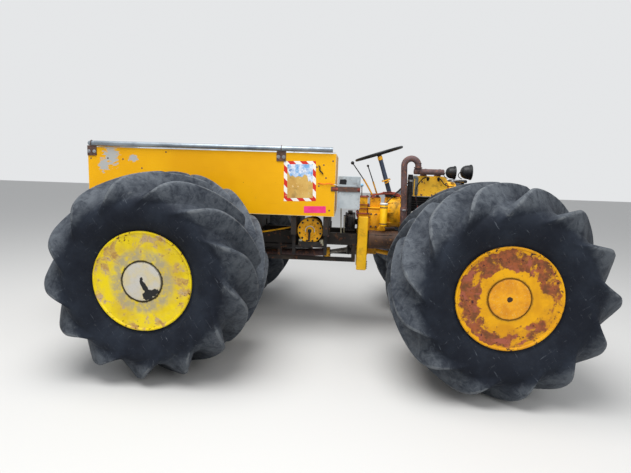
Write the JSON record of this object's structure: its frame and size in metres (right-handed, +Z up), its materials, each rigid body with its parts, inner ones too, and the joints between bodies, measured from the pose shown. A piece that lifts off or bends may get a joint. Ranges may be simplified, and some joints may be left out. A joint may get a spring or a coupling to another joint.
{
  "type": "swamp buggy tractor",
  "caption": "Home-built swamp tractor: open frame, low-pressure lugged tyres, yellow cargo box, engine and steering wheel ahead.",
  "frame": {"origin": "on the ground under the middle of the vehicle", "axes": "+X forward, +Y to the vehicle's left, +Z up"},
  "size_m": [4.6636, 3.38, 1.9949],
  "materials": {
    "frame_paint": "worn, rusty",
    "bed_paint": "painted plywood, satin",
    "bracket_steel": "rusty",
    "pipe_steel": "galvanised",
    "axle_paint": "oily, rusty",
    "rim_paint": "worn, rusty in patches",
    "tyre_rubber": "weathered, dusty",
    "gear_paint": "worn, oily",
    "dark_iron": "oily",
    "shroud_paint": "worn",
    "rusty_steel": "rusty",
    "black_paint": "faded",
    "shaft_steel": "greasy",
    "box_paint": "faded grey"
  },
  "bodies": {
    "chassis": {"frame_rail_right": "frame_paint", "frame_rail_left": "frame_paint", "cross_members": "frame_paint", "under_frame_right": "frame_paint", "under_frame_left": "frame_paint", "drawbar": "frame_paint", "bed_bearers": "frame_paint", "bed_side_right": "bed_paint", "bed_side_left": "bed_paint", "bed_front_panel": "bed_paint", "bed_rear_panel": "bed_paint", "bed_floor": "bed_paint", "rail_brackets": "bracket_steel", "tool_box_band": "bracket_steel", "bed_rail": "pipe_steel", "rear_axle": "axle_paint", "front_axle": "axle_paint", "drop_case": "gear_paint", "gearbox": "gear_paint", "bell_housing": "gear_paint", "winch_case": "gear_paint", "oil_canister": "gear_paint", "front_shaft": "gear_paint", "brake_drum": "dark_iron", "engine": "dark_iron", "breather": "dark_iron", "winch_frame": "dark_iron", "engine_shroud": "shroud_paint", "fan_housing": "shroud_paint", "exhaust_manifold": "rusty_steel", "exhaust_pipe": "rusty_steel", "torque_tube": "rusty_steel", "lamp_bar": "black_paint", "headlamps": "black_paint", "steering_column": "black_paint", "gear_levers": "black_paint", "rear_shaft": "shaft_steel", "tool_box": "box_paint"},
    "rear_right_wheel": {"wheel_rear_right": "rim_paint", "tyre_rear_right": "tyre_rubber"},
    "rear_left_wheel": {"wheel_rear_left": "rim_paint", "tyre_rear_left": "tyre_rubber"},
    "front_right_wheel": {"wheel_front_right": "rim_paint", "tyre_front_right": "tyre_rubber"},
    "front_left_wheel": {"wheel_front_left": "rim_paint", "tyre_front_left": "tyre_rubber"},
    "right_knuckle": {"knuckle_right": "axle_paint"},
    "left_knuckle": {"knuckle_left": "axle_paint"},
    "tie_rod_body": {"tie_rod": "axle_paint"},
    "steering_wheel_body": {"steering_wheel": "black_paint"},
    "winch_drum_body": {"winch_drum": "dark_iron"},
    "tool_box_lid_body": {"tool_box_lid": "box_paint"}
  },
  "joints": [
    {"name": "steer_right", "type": "hinge", "parent": "chassis", "child": "right_knuckle", "pos_m": [1.484, -0.65, 0.83], "axis": [0, 0, 1], "range_deg": [-22, 22]},
    {"name": "steer_left", "type": "hinge", "parent": "chassis", "child": "left_knuckle", "pos_m": [1.484, 0.65, 0.83], "axis": [0, 0, 1], "range_deg": [-22, 22]},
    {"name": "rear_right_wheel_spin", "type": "hinge", "parent": "chassis", "child": "rear_right_wheel", "pos_m": [-1.22, -1.145, 0.83], "axis": [0, 1, 0], "continuous": true},
    {"name": "rear_left_wheel_spin", "type": "hinge", "parent": "chassis", "child": "rear_left_wheel", "pos_m": [-1.22, 1.145, 0.83], "axis": [0, 1, 0], "continuous": true},
    {"name": "front_right_wheel_spin", "type": "hinge", "parent": "right_knuckle", "child": "front_right_wheel", "pos_m": [1.484, -1.145, 0.83], "axis": [0, 1, 0], "continuous": true},
    {"name": "front_left_wheel_spin", "type": "hinge", "parent": "left_knuckle", "child": "front_left_wheel", "pos_m": [1.484, 1.145, 0.83], "axis": [0, 1, 0], "continuous": true},
    {"name": "tie_rod_swing", "type": "hinge", "parent": "right_knuckle", "child": "tie_rod_body", "pos_m": [1.684, -0.65, 0.83], "axis": [0, 0, 1], "range_deg": [-22, 22]},
    {"name": "steering_wheel_turn", "type": "hinge", "parent": "chassis", "child": "steering_wheel_body", "pos_m": [0.61958, 0, 1.88871], "axis": [-0.309, 0, 0.9511], "range_deg": [-330, 330]},
    {"name": "winch_drum_turn", "type": "hinge", "parent": "chassis", "child": "winch_drum_body", "pos_m": [-0.058, 0, 1.113], "axis": [0, 1, 0], "continuous": true},
    {"name": "tool_box_lid_hinge", "type": "hinge", "parent": "chassis", "child": "tool_box_lid_body", "pos_m": [0.3125, -0.28, 1.56], "axis": [-1, 0, 0], "range_deg": [0, 90]}
  ],
  "couplings": [
    {"joint": "steer_left", "follows": "steer_right", "ratio": 1},
    {"joint": "tie_rod_swing", "follows": "steer_right", "ratio": -1},
    {"joint": "steering_wheel_turn", "follows": "steer_right", "ratio": 15}
  ]
}
